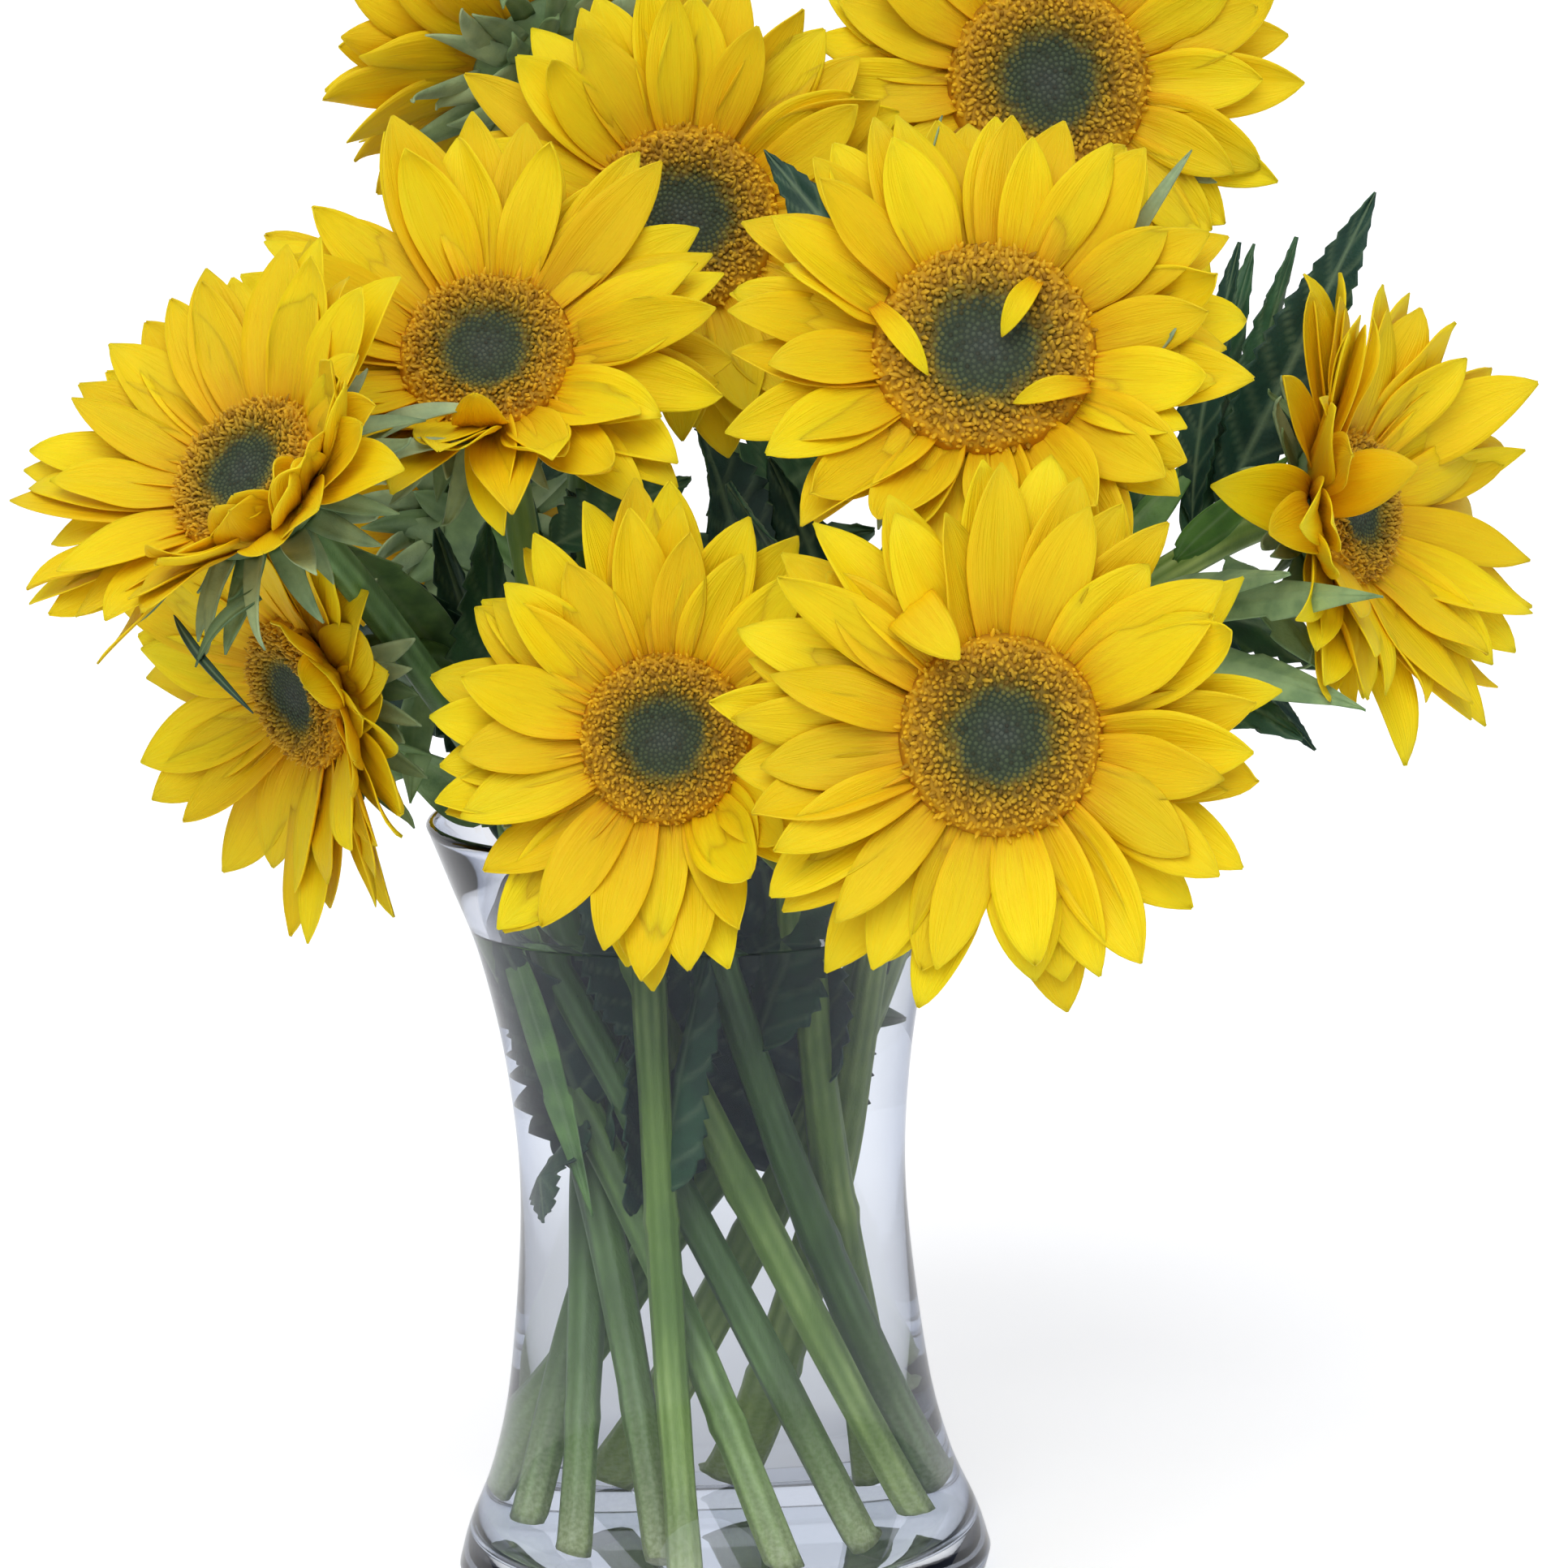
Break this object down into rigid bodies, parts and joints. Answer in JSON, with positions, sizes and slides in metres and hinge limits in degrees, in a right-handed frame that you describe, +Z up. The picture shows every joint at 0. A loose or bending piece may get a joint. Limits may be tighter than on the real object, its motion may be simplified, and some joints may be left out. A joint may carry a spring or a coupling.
{
  "type": "sunflowers in a vase",
  "caption": "Bunch of cut sunflowers with leaves, standing in a clear waisted glass vase of water.",
  "frame": {"origin": "middle of the vase's flat underside", "axes": "+Z up the vase towards the flowers, -Y to the front of the arrangement, +X to its right seen from the front"},
  "size_m": [0.3773, 0.3218, 0.4531],
  "materials": {
    "petal": "soft bright yellow petal, lemon at the tip and golden at the base",
    "disc": "velvety golden brown florets round a grey-green centre",
    "calyx": "matt grey-green bracts",
    "stem": "ribbed green stem with a pale cut end",
    "leaf": "dark green leaf, matt and veined",
    "glass": "clear, with a faint blue tint",
    "water": "clear water"
  },
  "bodies": {
    "root": {"stem_01": "stem", "calyx_01": "calyx", "disc_01": "disc", "petals_01": "petal", "stem_02": "stem", "calyx_02": "calyx", "disc_02": "disc", "petals_02": "petal", "stem_03": "stem", "calyx_03": "calyx", "disc_03": "disc", "petals_03": "petal", "stem_04": "stem", "calyx_04": "calyx", "disc_04": "disc", "petals_04": "petal", "stem_05": "stem", "calyx_05": "calyx", "disc_05": "disc", "petals_05": "petal", "stem_06": "stem", "calyx_06": "calyx", "disc_06": "disc", "petals_06": "petal", "stem_07": "stem", "calyx_07": "calyx", "disc_07": "disc", "petals_07": "petal", "stem_08": "stem", "calyx_08": "calyx", "disc_08": "disc", "petals_08": "petal", "stem_09": "stem", "calyx_09": "calyx", "disc_09": "disc", "petals_09": "petal", "stem_10": "stem", "calyx_10": "calyx", "disc_10": "disc", "petals_10": "petal", "stem_11": "stem", "calyx_11": "calyx", "disc_11": "disc", "petals_11": "petal", "stem_12": "stem", "calyx_12": "calyx", "disc_12": "disc", "petals_12": "petal", "leaf_01": "leaf", "leaf_02": "leaf", "leaf_03": "leaf", "leaf_04": "leaf", "leaf_05": "leaf", "leaf_06": "leaf", "leaf_07": "leaf", "leaf_08": "leaf", "leaf_09": "leaf", "leaf_10": "leaf", "vase": "glass", "water": "water"}
  },
  "joints": []
}
